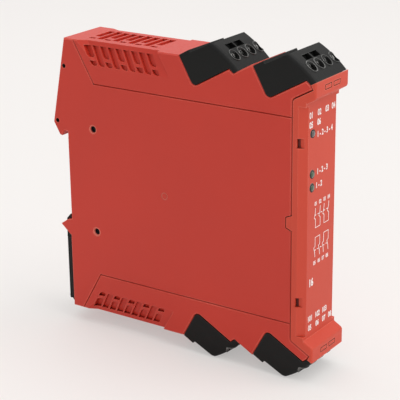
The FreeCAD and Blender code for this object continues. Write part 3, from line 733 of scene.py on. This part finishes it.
# small marks on the side walls
markPlan = {
    "wallFace": -cadBox[0][0],
    "holes": [(-0.0123, 0.0203), (-0.0123, -0.0203)],
    "holeRadius": 0.0012,
    "holeDepth": 0.0017,
    "chamfer": 0.0006,
    "ringAt": (-0.0445, 0.0),
    "ringRadius": 0.00125,
    "ringWire": 0.00015,
    "dimples": [(0.0003, 0.043), (0.0045, 0.0214)],
    "dimpleRadius": 0.00085,
    "dimpleStart": 0.0002,     # below the side wall's face
    "dimpleDepth": 0.0022,
    "liningFit": 0.985,        # of the hole's radius
    "liningWall": 0.12,        # of the hole's radius
    "liningHollow": 0.8,       # of the lining's depth
    "lipOut": 0.6,             # of the chamfer
    "lipWire": 0.00026,
    "lipSink": 0.0003,
    "ringClear": 0.00001,      # the ring mark stays this far inside the wall's face
}


def sideShadeTube(name, place, radius, side, start, depth, finish):
    # thin dark lining of a round hole, open to the outside; it paints the shade inside the hole
    outer = side * (markPlan["wallFace"] - start)
    middle = outer - side * depth / 2
    tube = added(bpy.ops.mesh.primitive_cylinder_add, vertices=40,
                 radius=radius * markPlan["liningFit"], depth=depth, end_fill_type="NGON",
                 location=(middle, *place), rotation=(0, math.pi / 2, 0))
    bpy.ops.object.transform_apply(location=True, rotation=True, scale=True)
    pickFaces(tube, (side, 0, 0))
    bpy.ops.mesh.inset(thickness=radius * markPlan["liningWall"], depth=0)
    pushFaces((-side * depth * markPlan["liningHollow"], 0, 0))
    bpy.ops.object.mode_set(mode="OBJECT")
    bpy.ops.object.shade_smooth_by_angle(angle=meshPlan["solidAngle"])
    return settle(tube, name, finish)


def sideRing(name, place, radius, wire, side, sink, finish):
    at = (side * (markPlan["wallFace"] - sink), *place)
    ring = added(bpy.ops.mesh.primitive_torus_add, major_radius=radius, minor_radius=wire,
                 major_segments=40, minor_segments=10, location=at,
                 rotation=(0, math.pi / 2, 0))
    cutAway(at, (side, 0, 0), clear_inner=True)
    bpy.ops.object.shade_smooth_by_angle(angle=meshPlan["wireAngle"])
    return settle(ring, name, finish)


for side, tag in ((-1, "Left"), (1, "Right")):
    for index, place in enumerate(markPlan["holes"]):
        sideShadeTube("pinShadeLining%s%d" % (tag, index), place, markPlan["holeRadius"], side,
                 markPlan["chamfer"], markPlan["holeDepth"] - markPlan["chamfer"],
                 finishes["header_black"])
        # a light red ring in each hole's chamfer paints the chamfer's highlight
        sideRing("pinLipHighlight%s%d" % (tag, index), place,
                 markPlan["holeRadius"] + markPlan["chamfer"] * markPlan["lipOut"],
                 markPlan["lipWire"], side, markPlan["lipSink"], finishes["scuffed_and_lit_red"])
    for index, place in enumerate(markPlan["dimples"]):
        sideShadeTube("dimpleShadeLining%s%d" % (tag, index), place, markPlan["dimpleRadius"], side,
                 markPlan["dimpleStart"], markPlan["dimpleDepth"], finishes["header_black"])
    sideRing("ringMark" + tag, markPlan["ringAt"], markPlan["ringRadius"],
             markPlan["ringWire"], side, markPlan["ringWire"] + markPlan["ringClear"],
             finishes["scuffed_and_lit_red"])
print("side marks made")


# dark slits at the rear of the pry slots in the front cover, painting the shade deep in the
# slots
slitPlan = {
    "height": 0.0291,
    "size": (0.0011, 0.0032),    # along the side, upright
    "rear": 0.00378,             # behind the print face
    "floor": 0.0012,             # below the side face
    "proud": 0.00025,
    "rim": 0.0003,
    "hollow": 0.8,               # of what the slit stands proud
}


def pryShadeSlit(name, side, height):
    along, upright = slitPlan["size"]
    plane = markPlan["wallFace"] - slitPlan["floor"]
    middle = (side * (plane + slitPlan["proud"] / 2), faceY + slitPlan["rear"] - along / 2,
              height)
    slit = added(bpy.ops.mesh.primitive_cube_add, size=1, location=middle)
    slit.scale = (slitPlan["proud"], along, upright)
    bpy.ops.object.transform_apply(location=True, rotation=True, scale=True)
    pickFaces(slit, (side, 0, 0))
    bpy.ops.mesh.inset(thickness=slitPlan["rim"], depth=0)
    pushFaces((-side * slitPlan["proud"] * slitPlan["hollow"], 0, 0))
    bpy.ops.object.mode_set(mode="OBJECT")
    return settle(slit, name, finishes["pry_shade_red"])


for side, tag in ((-1, "Left"), (1, "Right")):
    pryShadeSlit("pryShadeSlitUpper" + tag, side, slitPlan["height"])
    pryShadeSlit("pryShadeSlitLower" + tag, side, -slitPlan["height"])
print("pry slits made")


# grip pad on the rear of the foot latch
padPlan = {
    "thick": 0.0011,
    "margin": 0.0009,      # to the latch's sides and lower end
    "top": -0.0205,
    "round": 0.0004,
    "ribs": 7,
    "ribDepth": 0.0003,
    "frame": 0.0012,       # flat border round the ribs
    "endGap": 0.002,       # from the pad's ends to the row of ribs
    "ribHalf": 0.12,       # half of a rib's height, in steps of the row
    "ribPick": 0.1,        # how near a rib's middle a face counts as the rib, in steps
    "ribRise": 0.9,        # of the ribs' depth
    "level": 0.00005,      # how near the sunk face counts as on it
}


def latchPad():
    low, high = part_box("din_latch")
    wide = high[0] - padPlan["margin"]
    bottom, top = low[2] + padPlan["margin"], padPlan["top"]
    middle = (0, high[1] + padPlan["thick"] / 2, (bottom + top) / 2)
    pad = added(bpy.ops.mesh.primitive_cube_add, size=1, location=middle)
    pad.scale = (2 * wide, padPlan["thick"], top - bottom)
    bpy.ops.object.transform_apply(location=True, rotation=True, scale=True)
    bpy.ops.object.mode_set(mode="EDIT")
    bpy.ops.mesh.select_all(action="SELECT")
    bpy.ops.mesh.bevel(offset=padPlan["round"], segments=3, affect="EDGES")
    bpy.ops.object.mode_set(mode="OBJECT")
    pickFaces(pad, (0, 1, 0))
    bpy.ops.mesh.inset(thickness=padPlan["frame"], depth=0)
    pushFaces((0, -padPlan["ribDepth"], 0))
    step = (top - bottom - 2 * padPlan["endGap"]) / padPlan["ribs"]
    for count in range(1, padPlan["ribs"]):
        for edge in (-padPlan["ribHalf"], padPlan["ribHalf"]):
            height = bottom + padPlan["endGap"] + step * (count + edge)
            bpy.ops.mesh.select_all(action="SELECT")
            bpy.ops.mesh.bisect(plane_co=(0, 0, height), plane_no=(0, 0, 1))
    bpy.ops.object.mode_set(mode="OBJECT")
    sunk = high[1] + padPlan["thick"] - padPlan["ribDepth"]
    for polygon in pad.data.polygons:
        place = (polygon.center.z - bottom - padPlan["endGap"]) / step
        onFloor = (abs(polygon.center.y - sunk) < padPlan["level"]
                   and polygon.normal.y > meshPlan["facing"])
        onRib = round(place) > 0 and abs(place - round(place)) < padPlan["ribPick"]
        polygon.select = onFloor and onRib
    bpy.ops.object.mode_set(mode="EDIT")
    pushFaces((0, padPlan["ribDepth"] * padPlan["ribRise"], 0))
    bpy.ops.object.mode_set(mode="OBJECT")
    bpy.ops.object.shade_smooth_by_angle(angle=meshPlan["solidAngle"])
    return settle(pad, "latchPad", finishes["latch_black"], "latch")


latchPad()
print("latch pad made")


# coil under the latch, round in section
springPlan = {
    "wire": 0.00025,      # half of the wire's thickness
    "sides": 12,
    "turns": 6,
    "steps": 24,
    "pressed": 0.66,      # of its length at the latch's lower limit
}


def latchSpring():
    low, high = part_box("latch_spring")
    middle = (low + high) / 2
    wire, turns = springPlan["wire"], springPlan["turns"]
    coil = added(bpy.ops.mesh.primitive_circle_add, vertices=springPlan["sides"], radius=wire,
                 location=((high[0] - low[0]) / 2 - wire, 0, 0), rotation=(math.pi / 2, 0, 0))
    bpy.ops.object.transform_apply(location=True, rotation=True, scale=True)
    winding = coil.modifiers.new("winding", "SCREW")
    winding.axis = "Z"
    winding.angle = 2 * math.pi
    winding.screw_offset = (high[2] - low[2] - 2 * wire) / turns
    winding.iterations = turns
    winding.steps = springPlan["steps"]
    winding.render_steps = springPlan["steps"]
    bpy.ops.object.modifier_apply(modifier="winding")
    bpy.ops.object.mode_set(mode="EDIT")
    bpy.ops.mesh.select_mode(type="EDGE")
    bpy.ops.mesh.select_all(action="DESELECT")
    bpy.ops.mesh.select_non_manifold()
    bpy.ops.mesh.fill_holes(sides=0)
    bpy.ops.mesh.select_all(action="SELECT")
    bpy.ops.mesh.normals_make_consistent(inside=False)
    bpy.ops.object.mode_set(mode="OBJECT")
    bpy.ops.object.shade_smooth_by_angle(angle=meshPlan["wireAngle"])
    coil.location = (middle[0], middle[1], low[2] + wire)
    settle(coil, "latchSpring", finishes["spring_steel"])
    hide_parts("latch_spring")
    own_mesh(coil)


latchSpring()
print("latch spring made")


# floor, lights and camera
stagePlan = {
    "floorSize": 12.0,
    "floorGap": 0.0002,    # below the object
    "floorColour": (0.865, 0.84, 0.825),
    "floorShades": (0.985, 1.015),
    "floorClouds": 1.5,
    "floorGlow": (0.905, 0.885, 0.87, 1.0),
    "glowShare": 0.46,     # of what the camera sees on the floor
    "skyColour": (0.90, 0.885, 0.87, 1.0),
    "fillColour": (1.0, 0.985, 0.97, 1.0),
    "fill": 0.5,
    "aim": (0, -0.05, 0),
    "lamps": [
        # name, place, size, watts, colour
        ("keyLamp", (0.15, -0.85, 1.15), 1.4, 11.5, (1.0, 0.99, 0.97)),
        ("sideLamp", (-1.2, -0.55, 0.55), 1.2, 2.6, (1.0, 0.99, 0.98)),
        ("topLamp", (0.25, 0.45, 1.1), 1.3, 5.9, (1.0, 0.99, 0.98)),
    ],
}


def makeFloor():
    floor = added(bpy.ops.mesh.primitive_plane_add, size=stagePlan["floorSize"],
                  location=(0, 0, cadBox[0][2] - stagePlan["floorGap"]))
    floor.name = "floor"
    paint = Paint("floorPaper", Roughness=0.9)
    cloud = paint.noise(stagePlan["floorClouds"], 2.0)
    darker, lighter = [tone(stagePlan["floorColour"], gain) for gain in stagePlan["floorShades"]]
    paint.feed("Base Color", paint.blend(cloud, darker, lighter))
    glow = paint.node("ShaderNodeEmission", {}, {"Color": stagePlan["floorGlow"]})
    seen = paint.node("ShaderNodeLightPath", output="Is Camera Ray")
    both = paint.node("ShaderNodeMixShader", {}, {
        0: seen * stagePlan["glowShare"], 1: Wire(paint, paint.shader.outputs[0]), 2: glow})
    paint.plug(paint.tree.nodes["Material Output"].inputs["Surface"], both)
    floor.data.materials.append(paint.material)


def makeSky():
    # the camera and mirror-like surfaces see the pale sky, the rest gets the fill light
    world = bpy.data.worlds.new("studio")
    bpy.context.scene.world = world
    world.use_nodes = True
    tree = world.node_tree
    tree.nodes.clear()
    path = tree.nodes.new("ShaderNodeLightPath")
    either = tree.nodes.new("ShaderNodeMath")
    fill = tree.nodes.new("ShaderNodeBackground")
    sky = tree.nodes.new("ShaderNodeBackground")
    mix = tree.nodes.new("ShaderNodeMixShader")
    out = tree.nodes.new("ShaderNodeOutputWorld")
    either.operation = "MAXIMUM"
    fill.inputs["Color"].default_value = stagePlan["fillColour"]
    fill.inputs["Strength"].default_value = stagePlan["fill"]
    sky.inputs["Color"].default_value = stagePlan["skyColour"]
    tree.links.new(path.outputs["Is Camera Ray"], either.inputs[0])
    tree.links.new(path.outputs["Is Glossy Ray"], either.inputs[1])
    tree.links.new(either.outputs[0], mix.inputs[0])
    tree.links.new(fill.outputs[0], mix.inputs[1])
    tree.links.new(sky.outputs[0], mix.inputs[2])
    tree.links.new(mix.outputs[0], out.inputs["Surface"])


def makeLamps():
    for name, place, size, watts, colour in stagePlan["lamps"]:
        lamp = added(bpy.ops.object.light_add, type="AREA", location=place)
        lamp.name = name
        lamp.data.size = size
        lamp.data.energy = watts
        lamp.data.color = colour
        ahead = Vector(stagePlan["aim"]) - Vector(place)
        lamp.rotation_euler = ahead.to_track_quat("-Z", "Y").to_euler()


cameraPlan = {
    "place": (-0.400015, -0.326097, 0.167672),
    "heading": 34.370,     # from +X towards +Y
    "tilt": -19.429,
    "roll": -0.739,
    "lens": 125.557,
}


def makeCamera():
    heading, tilt, roll = [math.radians(cameraPlan[key]) for key in ("heading", "tilt", "roll")]
    ahead = Vector((math.cos(tilt) * math.cos(heading), math.cos(tilt) * math.sin(heading),
                    math.sin(tilt)))
    level = ahead.cross(Vector((0, 0, 1))).normalized()
    above = level.cross(ahead)
    right = math.cos(roll) * level + math.sin(roll) * above
    up = -math.sin(roll) * level + math.cos(roll) * above
    turn = Matrix((right, up, -ahead)).transposed()
    camera = added(bpy.ops.object.camera_add, location=cameraPlan["place"],
                   rotation=turn.to_euler())
    camera.data.sensor_width = 36.0
    camera.data.lens = cameraPlan["lens"]
    camera.data.clip_start = 0.01
    camera.data.clip_end = 50.0
    bpy.context.scene.camera = camera


makeFloor()
makeSky()
makeLamps()
makeCamera()
bpy.context.scene.view_settings.view_transform = "Standard"
print("stage set")
